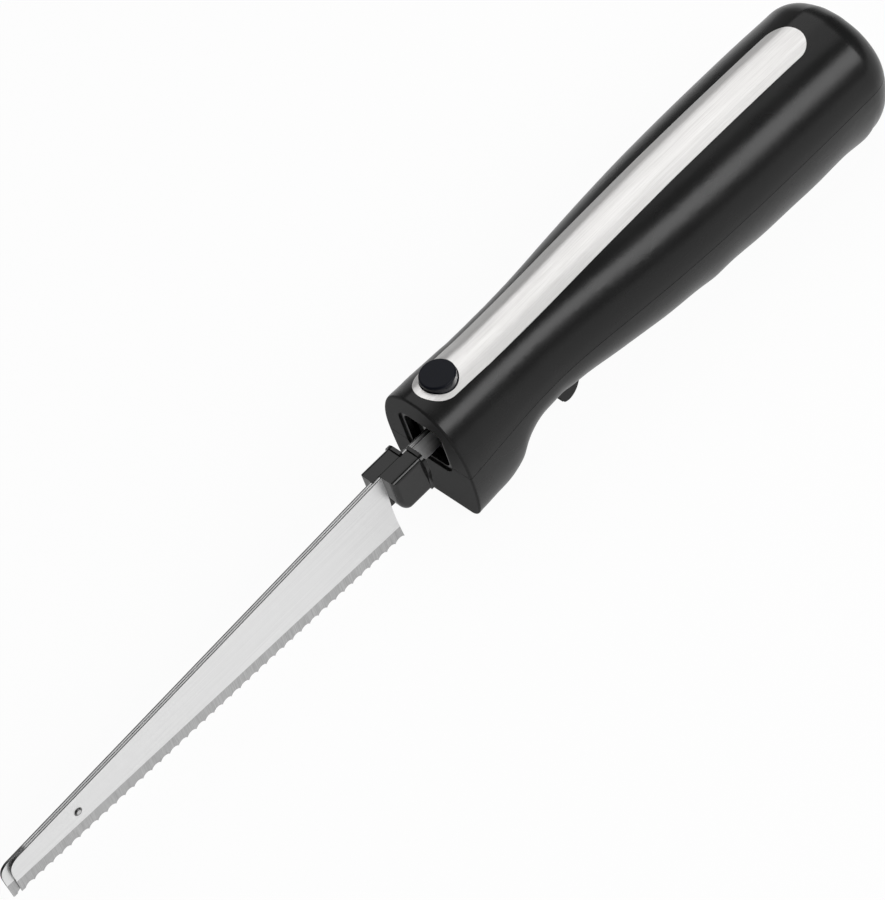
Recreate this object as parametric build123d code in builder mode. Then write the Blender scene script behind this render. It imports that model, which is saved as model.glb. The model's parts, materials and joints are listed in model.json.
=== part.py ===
from build123d import *
from math import cos, pi, radians, sin, sqrt
import os

os.makedirs("parts", exist_ok=True)

# Electric carving knife: two reciprocating blades side by side, driven from a handle of two shells.
# X runs from the blades' tips to the handle's rear, the cutting edges face down, and the origin is
# under the middle of the whole knife, on the surface that the chin and the handle's rear rest on.

# Overall sizes
handle_length = 217.5
end_round = 13.0
face_round = 0.9
blade_reach = 207.5
handle_half_width = 26.6
handle_height = 56.8
wall = 2.2
front_wall = 3.0

# Clearances
overrun = 1.0
running_gap = 0.05
fit_gap = 0.3
seam_gap = 0.2

# The handle's front face and the stretch in front of the rounded rear end
face_x = (blade_reach - handle_length) / 2
barrel_length = handle_length - end_round

# Sections of the handle from the front face to the start of the rounded end: place along the barrel,
# half width, top, bottom, seam, half width of the flat under it, and the powers of the two curves
station_shares = [
    (0.000, 0.762, 0.974, 0.048, 0.486, 0.46, 2.15, 2.50),
    (0.043, 0.756, 0.972, 0.026, 0.504, 0.35, 2.15, 2.50),
    (0.087, 0.745, 0.969, -0.003, 0.521, 0.22, 2.10, 2.50),
    (0.120, 0.737, 0.967, 0.034, 0.533, 0.18, 2.05, 2.45),
    (0.149, 0.729, 0.965, 0.160, 0.544, 0.14, 2.00, 2.35),
    (0.183, 0.724, 0.965, 0.230, 0.553, 0.10, 2.00, 2.20),
    (0.222, 0.724, 0.967, 0.243, 0.560, 0.08, 2.00, 2.15),
    (0.289, 0.744, 0.972, 0.211, 0.563, 0.08, 2.00, 2.10),
    (0.386, 0.816, 0.984, 0.144, 0.563, 0.08, 2.00, 2.10),
    (0.501, 0.902, 0.993, 0.081, 0.563, 0.10, 2.00, 2.08),
    (0.627, 0.962, 1.000, 0.039, 0.563, 0.12, 2.00, 2.05),
    (0.752, 0.988, 0.998, 0.012, 0.563, 0.15, 2.00, 2.05),
    (0.877, 0.993, 0.991, -0.003, 0.562, 0.15, 2.00, 2.05),
    (1.000, 0.984, 0.975, -0.003, 0.560, 0.15, 2.00, 2.05),
]
curve_shares = (0.0, 0.22, 0.44, 0.66, 0.84, 1.0)
end_angles = (0, 18, 36, 54, 72, 90)
face_angles = (90, 60, 30, 0)


def from_face(distance):
    """X of a point that lies a distance behind the handle's front face."""
    return face_x + distance


def seam_height(distance):
    """Height of the seam between the shells, by straight lines between the sections."""
    rows = [(row[0] * barrel_length, row[4] * handle_height) for row in station_shares]
    for (near_x, near_z), (far_x, far_z) in zip(rows, rows[1:]):
        if distance <= far_x:
            return near_z + (far_z - near_z) * (distance - near_x) / (far_x - near_x)
    return rows[-1][1]


def eased_row(place):
    """The section at any place along the barrel, by cubic curves that never swing past the table's rows."""
    last = len(station_shares) - 1
    first = max(index for index in range(last) if station_shares[index][0] <= place)
    near, far = station_shares[first], station_shares[first + 1]
    span = far[0] - near[0]
    share = (place - near[0]) / span
    eased = [place]
    for column in range(1, len(near)):
        steps = []
        for index in (first - 1, first, first + 1):
            low = station_shares[min(max(index, 0), last - 1)]
            high = station_shares[min(max(index, 0), last - 1) + 1]
            steps.append((high[column] - low[column]) / (high[0] - low[0]))
        slopes = [2 * one * two / (one + two) if one * two > 0 else 0 for one, two in zip(steps, steps[1:])]
        rise = far[column] - near[column]
        eased.append(
            near[column] + rise * share ** 2 * (3 - 2 * share)
            + span * share * (1 - share) * (slopes[0] * (1 - share) - slopes[1] * share)
        )
    return eased


def draw_section(distance, row, inset):
    """One closed section of the handle, drawn in by an inset all round."""
    half_width = row[1] * handle_half_width - inset
    top = row[2] * handle_height - inset
    bottom = row[3] * handle_height + inset
    seam = row[4] * handle_height
    foot = row[5] * handle_half_width
    upper_power = row[6]
    lower_power = row[7]
    upper_points = []
    lower_points = []
    for share in curve_shares:
        angle = share * pi / 2
        upper_points.append(
            (half_width * cos(angle) ** (2 / upper_power) if share < 1 else 0,
             seam + (top - seam) * sin(angle) ** (2 / upper_power))
        )
        lower_points.append(
            (foot + (half_width - foot) * (cos(angle) ** (2 / lower_power) if share < 1 else 0),
             seam - (seam - bottom) * sin(angle) ** (2 / lower_power))
        )
    with BuildSketch(Plane.YZ.offset(from_face(distance))) as section:
        with BuildLine():
            for side in (1, -1):
                Spline([(side * y, z) for y, z in upper_points], tangents=[(0, 1), (-side, 0)])
                Spline([(side * y, z) for y, z in lower_points], tangents=[(0, -1), (-side, 0)])
            Line((foot, bottom), (-foot, bottom))
        make_face()
    return section.sketch.face()


def handle_form(inset, front, front_round):
    """The handle as one solid, with its walls drawn in by an inset and its front face moved back."""
    front_sections = []
    for angle in face_angles:
        reach = front_round * (1 - sin(radians(angle)))
        drawn_in = front_round * (1 - cos(radians(angle)))
        row = eased_row((front + reach) / barrel_length)
        front_sections.append(draw_section(front + reach, row, inset + drawn_in))
    front = front + front_round
    places = []
    for near, far in zip(station_shares, station_shares[1:]):
        places += [near[0], (near[0] + far[0]) / 2]
    barrel_sections = [draw_section(front, eased_row(front / barrel_length), inset)]
    for place in places:
        if place * barrel_length > front + face_round:
            barrel_sections.append(draw_section(place * barrel_length, eased_row(place), inset))
    barrel_sections.append(draw_section(barrel_length, station_shares[-1], inset))
    end_sections = []
    for angle in end_angles:
        reach = (end_round - inset) * sin(radians(angle))
        drawn_in = (end_round - inset) * (1 - cos(radians(angle)))
        end_sections.append(draw_section(barrel_length + reach, station_shares[-1], inset + drawn_in))
    with BuildPart() as form:
        loft(sections=front_sections)
        loft(sections=barrel_sections)
        loft(sections=end_sections)
    return form.part


def seam_block(lift):
    """Everything below the seam, raised by a lift."""
    far_end = handle_length + overrun
    points = [(from_face(row[0] * barrel_length), row[4] * handle_height + lift) for row in station_shares]
    with BuildPart() as block:
        with BuildSketch(Plane.XZ):
            with BuildLine():
                Spline(points)
                Polyline(
                    points[-1],
                    (from_face(far_end), points[-1][1]),
                    (from_face(far_end), -handle_height),
                    (from_face(-overrun), -handle_height),
                    (from_face(-overrun), points[0][1]),
                    points[0],
                )
            make_face()
        extrude(amount=handle_half_width + overrun, both=True)
    return block.part


def x_bar(start, end, radius, y, z, mode=Mode.ADD):
    """A round bar along X between two distances from the front face."""
    with BuildSketch(Plane.YZ.offset(from_face(start))) as profile:
        with Locations((y, z)):
            Circle(radius)
    extrude(profile.sketch, amount=end - start, mode=mode)


def block_between(start, end, half_width, low, high, mode=Mode.ADD):
    """A block between two distances from the front face, centred on the middle plane."""
    with BuildSketch(Plane.XY.offset(low)) as profile:
        with Locations((from_face((start + end) / 2), 0)):
            Rectangle(end - start, 2 * half_width)
    extrude(profile.sketch, amount=high - low, mode=mode)


# Drive line
motor_z = 26.0
worm_module = 0.8
wheel_teeth = 24
worm_pitch_radius = 3.5
wheel_pitch_radius = worm_module * wheel_teeth / 2
wheel_outer = wheel_pitch_radius + worm_module
wheel_root = wheel_pitch_radius - 1.25 * worm_module
wheel_x = 84.0
wheel_z = motor_z + worm_pitch_radius + wheel_pitch_radius
crank_radius = 3.0
rest_offset = 1.65
shaft_radius = 2.0
shaft_end = 178.0

# Blades
blade_thickness = 1.0
blade_gap = 0.1
blade_outer = blade_gap + blade_thickness
tang_low = 28.0
tang_high = 38.0
tang_end = 24.0
heel_x = -23.2
heel_spine_z = 38.1
heel_edge_z = 4.0
tip_x = -(blade_reach - rest_offset)
tip_spine_z = 27.4
tip_edge_z = 11.5

# Drive bars
bar_inner = 1.5
bar_outer = 5.5
bar_start = 6.0
bar_step_x = 50.0
bar_low = tang_low
bar_high = tang_high
bar_rear_low = 30.0

# Release button
button_x = 13.8
button_radius = 6.7
button_top = 57.6
button_travel = 3.0
flange_radius = 8.0
flange_low = 48.5
flange_high = 50.2
pusher_radius = 2.4

# Guide block behind the front face
guide_start = 5.0
guide_end = 38.0
guide_half_width = 9.5
guide_low = 25.0
guide_high = 42.0
latch_room = 1.3
channel_high = tang_high + latch_room

# Trigger
pivot_x = 50.0
pivot_z = 19.0
pin_radius = 1.2
trigger_half_width = 7.0
slot_front = 46.5
slot_rear = 65.6
ear_inner = trigger_half_width + 0.8
ear_outer = 10.2
ear_length = 6.0
ear_top = 21.6

# Motor
stator_start = 126.0
stator_end = 148.0
stator_radius = 19.0
stator_inner = 16.0
stator_bore = 11.5
ring_radius = 20.3
ring_width = 3.0
ring_starts = (stator_start + 2.0, stator_end - 2.0 - ring_width)
bracket_thickness = 2.5
front_bracket_x = 106.0
rear_bracket_x = 173.0
bracket_radius = stator_radius
bracket_half_height = 16.0
motor_screw_place = 17.5
motor_screw_radius = 1.2

# Gear frame
frame_start = 71.0
frame_half_width = 9.0
frame_plate = 2.0
frame_low = 15.0
frame_front_top = 29.6
frame_top = 47.0

# Cord entry
cord_z = 28.3
cord_bore = 3.4
gland_radius = 5.6
gland_length = 14.5
gland_start = handle_length - gland_length
clamp_start = 194.0
clamp_width = 6.0
clamp_half_width = 10.0
clamp_rib_top = 31.5
clamp_screw_y = 7.0
clamp_screw_radius = 1.25

# Shell screws
boss_radius = 4.2
boss_places = ((43.0, 11.0, 20.0), (190.0, 15.5, 12.0))
screw_radius = 1.5
screw_head_radius = 2.8
screw_head_height = 2.2
screw_recess_radius = 3.0
screw_grip = 9.0

# Steel strip along the top
strip_half_width = 8.7
strip_front = 4.1
strip_rear = 199.0
strip_depth = 0.5
strip_proud = 0.12
strip_floor = 40.0
button_hole_gap = 0.35
button_hole_radius = button_radius + button_hole_gap

# Capacitor
capacitor_start = 180.0
capacitor_end = 190.0
capacitor_half_width = 7.0
capacitor_low = 38.0
capacitor_high = 47.0

# The space inside the shells, less the ribs and screw bosses that stand in it
outer_form = handle_form(0, 0, face_round)
inner_form = handle_form(wall, front_wall, face_round)

rib_thickness = 2.0
guide_rib_starts = (12.0, 29.0)
frame_rib_starts = (78.0, 94.0)
rib_reach = handle_half_width + overrun

with BuildPart() as cavity:
    add(inner_form)
    for start in ring_starts:
        with BuildSketch(Plane.YZ.offset(from_face(start))):
            with Locations((0, motor_z)):
                Rectangle(2 * rib_reach, 2 * handle_height)
                Circle(ring_radius, mode=Mode.SUBTRACT)
        extrude(amount=ring_width, mode=Mode.SUBTRACT)
    for start in guide_rib_starts:
        block_between(start, start + rib_thickness, guide_half_width, 0, guide_low, Mode.SUBTRACT)
    for start in frame_rib_starts:
        block_between(start, start + rib_thickness, frame_half_width, 0, frame_low, Mode.SUBTRACT)
    block_between(clamp_start, clamp_start + clamp_width, clamp_half_width, 0, clamp_rib_top, Mode.SUBTRACT)
    block_between(
        capacitor_start + rib_thickness, capacitor_end - rib_thickness, capacitor_half_width - rib_thickness,
        capacitor_high, handle_height, Mode.SUBTRACT,
    )
    with BuildSketch(Plane.XY):
        for place, side_y, seat in boss_places:
            with Locations((from_face(place), side_y), (from_face(place), -side_y)):
                Circle(boss_radius)
    extrude(amount=handle_height, mode=Mode.SUBTRACT)
    for side in (1, -1):
        with BuildSketch(Plane.XY):
            with Locations((from_face(pivot_x), side * (ear_inner + ear_outer) / 2)):
                Rectangle(ear_length, ear_outer - ear_inner)
        extrude(amount=ear_top, mode=Mode.SUBTRACT)

# Socket in the front face
socket_half_width = 9.0
socket_low = 25.0
socket_high = 43.0
socket_corner = 3.0
recess_depth = 0.8
recess_margin = 2.0

# What both shells share: outer form less the cavity, with the socket, cord hole and screw holes
with BuildPart() as shell_blank:
    add(outer_form)
    split(bisect_by=Plane.XY, keep=Keep.TOP)
    add(cavity.part, mode=Mode.SUBTRACT)
    with BuildSketch(Plane.YZ.offset(from_face(-overrun))):
        with Locations((0, (socket_low + socket_high) / 2)):
            RectangleRounded(2 * socket_half_width, socket_high - socket_low, socket_corner)
    extrude(amount=front_wall + 2 * overrun, mode=Mode.SUBTRACT)
    with BuildSketch(Plane.YZ.offset(from_face(-overrun))):
        with Locations((0, (socket_low + socket_high) / 2)):
            RectangleRounded(
                2 * (socket_half_width + recess_margin),
                socket_high - socket_low + 2 * recess_margin,
                socket_corner + recess_margin,
            )
    extrude(amount=recess_depth + overrun, mode=Mode.SUBTRACT)
    x_bar(handle_length - wall - overrun, handle_length + overrun, gland_radius, 0, cord_z, Mode.SUBTRACT)
    for place, side_y, seat in boss_places:
        spots = ((from_face(place), side_y), (from_face(place), -side_y))
        with BuildSketch(Plane.XY):
            with Locations(*spots):
                Circle(screw_recess_radius)
        extrude(amount=seat, mode=Mode.SUBTRACT)
        with BuildSketch(Plane.XY.offset(seat)):
            with Locations(*spots):
                Circle(screw_radius)
        extrude(amount=seam_height(place) + screw_grip - seat, mode=Mode.SUBTRACT)

# Lower shell, with the trigger's slot, the trigger pin's holes and the clamp's screw holes
cord_slack = 0.4
cord_channel = cord_bore + cord_slack
clamp_screw_depth = 9.0

with BuildPart() as lower_shell:
    add(shell_blank.part)
    add(seam_block(-seam_gap / 2), mode=Mode.INTERSECT)
    with BuildSketch(Plane.XY):
        with Locations((from_face((slot_front + slot_rear) / 2), 0)):
            Rectangle(slot_rear - slot_front, 2 * (trigger_half_width + fit_gap))
    extrude(amount=guide_low, mode=Mode.SUBTRACT)
    with BuildSketch(Plane.XZ):
        with Locations((from_face(pivot_x), pivot_z)):
            Circle(pin_radius)
    extrude(amount=ear_outer, both=True, mode=Mode.SUBTRACT)
    block_between(
        clamp_start - overrun, clamp_start + clamp_width + overrun, cord_channel,
        cord_z - cord_channel, clamp_rib_top + overrun, Mode.SUBTRACT,
    )
    with BuildSketch(Plane.XY.offset(clamp_rib_top - clamp_screw_depth)):
        with Locations(*[(from_face(clamp_start + clamp_width / 2), y) for y in (clamp_screw_y, -clamp_screw_y)]):
            Circle(clamp_screw_radius)
    extrude(amount=clamp_screw_depth + overrun, mode=Mode.SUBTRACT)
lower_shell.part.label = "lower_shell"
export_step(lower_shell.part, "parts/lower_shell.step")

# The strip's outline from above, as a prism that reaches down to a floor inside the handle
strip_length = strip_rear - strip_front
with BuildPart() as strip_prism:
    with BuildSketch(Plane.XY.offset(strip_floor)):
        with Locations((from_face((strip_front + strip_rear) / 2), 0)):
            SlotOverall(strip_length, 2 * strip_half_width)
    extrude(amount=handle_height)

# Upper shell, with the strip's recess and the button's hole
with BuildPart() as upper_shell:
    add(shell_blank.part)
    add(seam_block(seam_gap / 2), mode=Mode.SUBTRACT)
    add(strip_prism.part - outer_form.moved(Location((0, 0, -strip_depth))), mode=Mode.SUBTRACT)
    with BuildSketch(Plane.XY.offset(strip_floor)):
        with Locations((from_face(button_x), 0)):
            Circle(button_hole_radius)
    extrude(amount=handle_height, mode=Mode.SUBTRACT)
upper_shell.part.label = "upper_shell"
export_step(upper_shell.part, "parts/upper_shell.step")

# Trim strip: a thin steel layer that follows the crown of the handle
with BuildPart() as trim_strip:
    add(strip_prism.part)
    add(outer_form.moved(Location((0, 0, strip_proud))), mode=Mode.INTERSECT)
    add(outer_form.moved(Location((0, 0, -strip_depth))), mode=Mode.SUBTRACT)
    with BuildSketch(Plane.XY.offset(strip_floor)):
        with Locations((from_face(button_x), 0)):
            Circle(button_hole_radius)
    extrude(amount=handle_height, mode=Mode.SUBTRACT)
trim_strip.part.label = "trim_strip"
export_step(trim_strip.part, "parts/trim_strip.step")

# Shell screws, two in front of the motor and two behind it
with BuildPart() as shell_screws:
    for place, side_y, seat in boss_places:
        spots = ((from_face(place), side_y), (from_face(place), -side_y))
        with BuildSketch(Plane.XY.offset(seat - screw_head_height)):
            with Locations(*spots):
                Circle(screw_head_radius)
        extrude(amount=screw_head_height)
        with BuildSketch(Plane.XY.offset(seat)):
            with Locations(*spots):
                Circle(screw_radius)
        extrude(amount=seam_height(place) + screw_grip - seat)
        with BuildSketch(Plane.XY.offset(seat - screw_head_height)):
            with Locations(*spots):
                for turn in (0, 90):
                    Rectangle(screw_head_radius, screw_radius / 3, rotation=turn)
        extrude(amount=screw_head_height / 2, mode=Mode.SUBTRACT)
shell_screws.part.label = "shell_screws"
export_step(shell_screws.part, "parts/shell_screws.step")

# Release button: cap, retaining flange and the pusher that reaches down to the latches
button_edge = 0.8
press_gap = 0.1
pusher_low = channel_high + button_travel + press_gap

with BuildPart() as release_button:
    with BuildSketch(Plane.XY.offset(flange_high)):
        with Locations((from_face(button_x), 0)):
            Circle(button_radius)
    extrude(amount=button_top - flange_high)
    fillet(release_button.faces().sort_by(Axis.Z)[-1].edges(), radius=button_edge)
    with BuildSketch(Plane.XY.offset(flange_low)):
        with Locations((from_face(button_x), 0)):
            Circle(flange_radius)
    extrude(amount=flange_high - flange_low)
    with BuildSketch(Plane.XY.offset(pusher_low)):
        with Locations((from_face(button_x), 0)):
            Circle(pusher_radius)
    extrude(amount=flange_low - pusher_low)
release_button.part.label = "release_button"
export_step(release_button.part, "parts/release_button.step")

# Button spring between the guide block and the button's flange
button_spring_radius = 4.2
button_spring_wire = 0.4
button_spring_turns = 4
button_spring_height = flange_low - guide_high - 2 * button_spring_wire

with BuildPart() as button_spring:
    with BuildLine():
        button_coil = Helix(
            pitch=button_spring_height / button_spring_turns,
            height=button_spring_height,
            radius=button_spring_radius,
            center=(from_face(button_x), 0, guide_high + button_spring_wire),
        )
    with BuildSketch(Plane(origin=button_coil @ 0, z_dir=button_coil % 0)):
        Circle(button_spring_wire)
    sweep(is_frenet=True)
button_spring.part.label = "button_spring"
export_step(button_spring.part, "parts/button_spring.step")

# Guide block with the channel that the two drive bars slide in
channel_half_width = bar_outer + fit_gap
with BuildPart() as guide_block:
    block_between(guide_start, guide_end, guide_half_width, guide_low, guide_high)
    block_between(
        guide_start - overrun, guide_end + overrun, channel_half_width, tang_low - fit_gap, channel_high, Mode.SUBTRACT
    )
    with BuildSketch(Plane.XY.offset(channel_high)):
        with Locations((from_face(button_x), 0)):
            Circle(pusher_radius + fit_gap)
    extrude(amount=guide_high, mode=Mode.SUBTRACT)
guide_block.part.label = "guide_block"
export_step(guide_block.part, "parts/guide_block.step")

# Blades: spine, rounded tip, scalloped edge, heel, tang and latch notch, drawn for the middle of the
# stroke and moved to their places at rest
scallop_pitch = 4.2
scallop_depth = 1.3
tip_slant = 0.4
tip_round = 5.0
heel_flare = 0.4
heel_hollow = 0.5
bevel_height = 6.8
edge_thickness = 0.25
edge_slope = (tip_edge_z - heel_edge_z) / (tip_x - heel_x)
scallop_count = int((heel_x - tip_x - tip_slant) / scallop_pitch)
latch_notch_x = 15.0
latch_notch_length = 2.2
latch_notch_depth = 2.4
rivet_x = -175.3
rivet_z = 22.4
rivet_radius = 1.0
rivet_head_radius = 1.4
rivet_head_height = 0.5
rivet_round = 0.4
rivet_slack = 0.2

# Holders moulded on the blades' rear ends
holder_front = heel_x
holder_rear = -9.6
holder_low = 20.8
holder_cover = 0.4
holder_high = tang_high + holder_cover
holder_outer = 6.8
holder_corner = 2.0
holder_sweep = 4.4
collar_thickness = 1.4
collar_outer = 8.0
collar_low = 21.0
collar_cover = 1.2
collar_high = tang_high + collar_cover

# Yoke at a drive bar's rear end
pin_reach_radius = 1.4
yoke_clearance = 0.4
yoke_half_window = crank_radius + pin_reach_radius + yoke_clearance
yoke_window_length = 2 * (yoke_half_window + crank_radius)
yoke_rim = 3.0
yoke_inner = 3.1
latch_length = 22.0
latch_thickness = 0.9

for side_name, side in (("near", -1), ("far", 1)):
    shift = -side * rest_offset
    middle = Plane.XZ.offset(-side * blade_gap)

    with BuildPart() as blade:
        with BuildSketch(middle):
            with BuildLine():
                tip_top = tip_x + tip_round
                spine_slope = (tip_spine_z - heel_spine_z) / (tip_x - heel_x)
                spine_start = (tip_top, tip_spine_z + spine_slope * tip_round)
                front_turn = (tip_x, tip_spine_z - tip_round)
                toe = (tip_x + tip_slant, tip_edge_z)
                Polyline(
                    spine_start, (heel_x, heel_spine_z), (heel_x, tang_high), (latch_notch_x, tang_high),
                    (latch_notch_x, tang_high - latch_notch_depth),
                    (latch_notch_x + latch_notch_length, tang_high - latch_notch_depth),
                    (latch_notch_x + latch_notch_length, tang_high), (tang_end, tang_high), (tang_end, tang_low),
                    (heel_x, tang_low),
                )
                last = (heel_x + heel_flare, heel_edge_z)
                ThreePointArc((heel_x, tang_low), (heel_x - heel_hollow, (tang_low + heel_edge_z) / 2), last)
                for count in range(scallop_count):
                    end_x = heel_x - (count + 1) * scallop_pitch
                    point = (end_x, heel_edge_z + edge_slope * (end_x - heel_x))
                    mid_x = (last[0] + point[0]) / 2
                    mid_z = (last[1] + point[1]) / 2 + scallop_depth
                    ThreePointArc(last, (mid_x, mid_z), point)
                    last = point
                Polyline(last, toe, front_turn)
                Spline([front_turn, spine_start], tangents=[(0, 1), (1, spine_slope)])
            make_face()
        extrude(amount=-side * blade_thickness)
        bevel_start = heel_x + heel_flare + overrun
        bevel_edge = heel_edge_z + edge_slope * (bevel_start - heel_x) - overrun
        bevel_foot = side * (blade_gap + edge_thickness)
        bevel_back = side * (blade_outer + overrun)
        bevel_rise = (bevel_height + overrun) * (blade_outer - blade_gap - edge_thickness + overrun)
        bevel_rise = bevel_rise / (blade_outer - blade_gap - edge_thickness)
        with BuildSketch(Plane.YZ.offset(bevel_start)):
            with BuildLine():
                Polyline(
                    (bevel_foot, bevel_edge), (bevel_back, bevel_edge),
                    (bevel_back, bevel_edge + bevel_rise), (bevel_foot, bevel_edge),
                )
            make_face()
        extrude(amount=blade_reach, dir=(-1, 0, -edge_slope), mode=Mode.SUBTRACT)
        with BuildSketch(Plane.XZ):
            with Locations((rivet_x, rivet_z)):
                if side < 0:
                    Circle(rivet_radius)
                else:
                    SlotOverall(2 * (2 * crank_radius + rivet_radius + rivet_slack), 2 * (rivet_radius + rivet_slack))
        extrude(amount=2 * blade_outer, both=True, mode=Mode.SUBTRACT)
    blade_solid = blade.part.moved(Location((face_x + shift, 0, 0)))
    blade_solid.label = side_name + "_blade"
    export_step(blade_solid, "parts/" + side_name + "_blade.step")

    with BuildPart() as holder:
        with BuildSketch(middle):
            with BuildLine():
                Polyline(
                    (holder_front, tang_low), (holder_front, holder_high), (holder_rear, holder_high),
                    (holder_rear, holder_low), (holder_front + holder_sweep, holder_low),
                )
                Bezier(
                    (holder_front + holder_sweep, holder_low), (holder_front + holder_sweep / 3, holder_low),
                    (holder_front, holder_low + holder_sweep), (holder_front, tang_low),
                )
            make_face()
        extrude(amount=-side * (holder_outer - blade_gap))
        outer_face = holder.faces().sort_by(Axis.Y)[0 if side < 0 else -1]
        fillet(outer_face.edges().sort_by(Axis.X)[:-1], radius=holder_corner)
        with BuildSketch(Plane.YZ.offset(holder_rear)):
            with BuildLine():
                Polyline(
                    (side * blade_gap, collar_low), (side * blade_gap, collar_high), (side * holder_outer / 2, collar_high)
                )
                Spline(
                    [
                        (side * holder_outer / 2, collar_high),
                        (side * collar_outer, (collar_low + collar_high) / 2),
                        (side * holder_outer, collar_low),
                    ],
                    tangents=[(side, 0), (0, -1)],
                )
                Line((side * holder_outer, collar_low), (side * blade_gap, collar_low))
            make_face()
        extrude(amount=collar_thickness)
        with BuildSketch(Plane.YZ.offset(heel_x - overrun)):
            with Locations((side * (blade_gap + blade_outer) / 2, (tang_low + tang_high) / 2)):
                Rectangle(blade_thickness, tang_high - tang_low)
        extrude(amount=tang_end - heel_x, mode=Mode.SUBTRACT)
    holder_solid = holder.part.moved(Location((face_x + shift, 0, 0)))
    holder_solid.label = side_name + "_blade_holder"
    export_step(holder_solid, "parts/" + side_name + "_blade_holder.step")

    # Drive bar: a flat bar beside the tang with a yoke round the crank pin
    yoke_front = wheel_x - yoke_window_length / 2 - yoke_rim
    yoke_rear = wheel_x + yoke_window_length / 2 + yoke_rim
    thin_start = wheel_x - wheel_outer - crank_radius - 2 * fit_gap
    with BuildPart() as drive_bar:
        with BuildSketch(Plane.XZ.offset(-side * bar_inner)):
            with BuildLine():
                Polyline(
                    (bar_start, bar_low), (bar_start, bar_high), (yoke_front, bar_high),
                    (yoke_front, wheel_z + yoke_half_window + yoke_rim), (yoke_rear, wheel_z + yoke_half_window + yoke_rim),
                    (yoke_rear, wheel_z - yoke_half_window - yoke_rim),
                    (yoke_front + yoke_rim, wheel_z - yoke_half_window - yoke_rim), (yoke_front, bar_rear_low + yoke_rim),
                    (yoke_front, bar_rear_low), (bar_step_x, bar_rear_low), (bar_step_x, bar_low), (bar_start, bar_low),
                )
            make_face()
            with Locations((wheel_x, wheel_z)):
                Rectangle(yoke_window_length, 2 * yoke_half_window, mode=Mode.SUBTRACT)
        extrude(amount=-side * (bar_outer - bar_inner))
        with BuildSketch(Plane.XZ):
            with Locations(((thin_start + yoke_rear + overrun) / 2, wheel_z)):
                Rectangle(yoke_rear + overrun - thin_start, handle_height)
        extrude(amount=-side * yoke_inner, mode=Mode.SUBTRACT)
    bar_solid = drive_bar.part.moved(Location((face_x + shift, 0, 0)))
    bar_solid.label = side_name + "_drive_bar"
    export_step(bar_solid, "parts/" + side_name + "_drive_bar.step")

    # Latch: a flat spring on the bar with a hook that drops into the tang's notch
    with BuildPart() as latch:
        with BuildSketch(Plane.XY.offset(tang_high)):
            with Locations((bar_start + latch_length / 2, side * (blade_gap + bar_outer) / 2)):
                Rectangle(latch_length, bar_outer - blade_gap)
        extrude(amount=latch_thickness)
        with BuildSketch(Plane.XY.offset(tang_high)):
            with Locations((latch_notch_x + latch_notch_length / 2, side * (blade_gap + blade_outer) / 2)):
                Rectangle(latch_notch_length - 2 * rivet_slack, blade_thickness)
        extrude(amount=-(latch_notch_depth - rivet_slack))
    latch_solid = latch.part.moved(Location((face_x + shift, 0, 0)))
    latch_solid.label = side_name + "_latch"
    export_step(latch_solid, "parts/" + side_name + "_latch.step")

# Rivet near the tip: fast in the near blade, loose in the far blade's slot
rivet_place = (from_face(rivet_x + rest_offset), rivet_z)
with BuildPart() as blade_rivet:
    with BuildSketch(Plane.XZ.offset(blade_outer)):
        with Locations(rivet_place):
            Circle(rivet_head_radius)
    extrude(amount=rivet_head_height)
    fillet(blade_rivet.faces().sort_by(Axis.Y)[0].edges(), radius=rivet_round)
    with BuildSketch(Plane.XZ.offset(blade_outer)):
        with Locations(rivet_place):
            Circle(rivet_radius)
    extrude(amount=-(2 * blade_outer + rivet_slack))
    with BuildSketch(Plane.XZ.offset(-blade_outer - rivet_slack)):
        with Locations(rivet_place):
            Circle(rivet_head_radius)
    extrude(amount=-rivet_head_height)
blade_rivet.part.label = "blade_rivet"
export_step(blade_rivet.part, "parts/blade_rivet.step")

# Trigger: hook, hub and the arm that lifts the switch's plunger
hub_radius = 2.2
arm_x = 10.0
arm_top = 1.0
hook_x = 6.0
hook_drop = 16.4
hook_rear = 12.9
hook_waist = 8.5
hook_heel_share = 0.8
hook_toe_share = 0.7
hook_curl_share = 0.1
hook_belly_share = 0.5
spring_space_radius = 2.9
spring_space_half = 3.2
rib_groove = 0.45
rib_places = (0.16, 0.24, 0.32, 0.40, 0.48, 0.56)

with BuildPart() as trigger:
    with BuildSketch(Plane(origin=(from_face(pivot_x), 0, pivot_z), x_dir=(1, 0, 0), z_dir=(0, -1, 0))):
        with BuildLine():
            Polyline(
                (-hub_radius, 0), (0, hub_radius), (arm_x, arm_top), (hook_rear, 0), (hook_rear, -hook_waist)
            )
            Bezier(
                (hook_rear, -hook_waist), (hook_rear, -hook_drop * hook_heel_share),
                (hook_rear * hook_toe_share, -hook_drop), (hook_x, -hook_drop),
            )
            trigger_front = Bezier(
                (hook_x, -hook_drop), (hook_x * hook_curl_share, -hook_drop),
                (hook_x * hook_belly_share, -hook_waist), (-hub_radius, 0),
            )
        make_face()
        with Locations(*[trigger_front @ share for share in rib_places]):
            Circle(rib_groove, mode=Mode.SUBTRACT)
    extrude(amount=trigger_half_width, both=True)
    with BuildSketch(Plane.XZ):
        with Locations((from_face(pivot_x), pivot_z)):
            Circle(pin_radius + running_gap)
    extrude(amount=trigger_half_width, both=True, mode=Mode.SUBTRACT)
    with BuildSketch(Plane.XZ):
        with Locations((from_face(pivot_x), pivot_z)):
            Circle(spring_space_radius)
    extrude(amount=spring_space_half, both=True, mode=Mode.SUBTRACT)
trigger.part.label = "trigger"
export_step(trigger.part, "parts/trigger.step")

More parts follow.
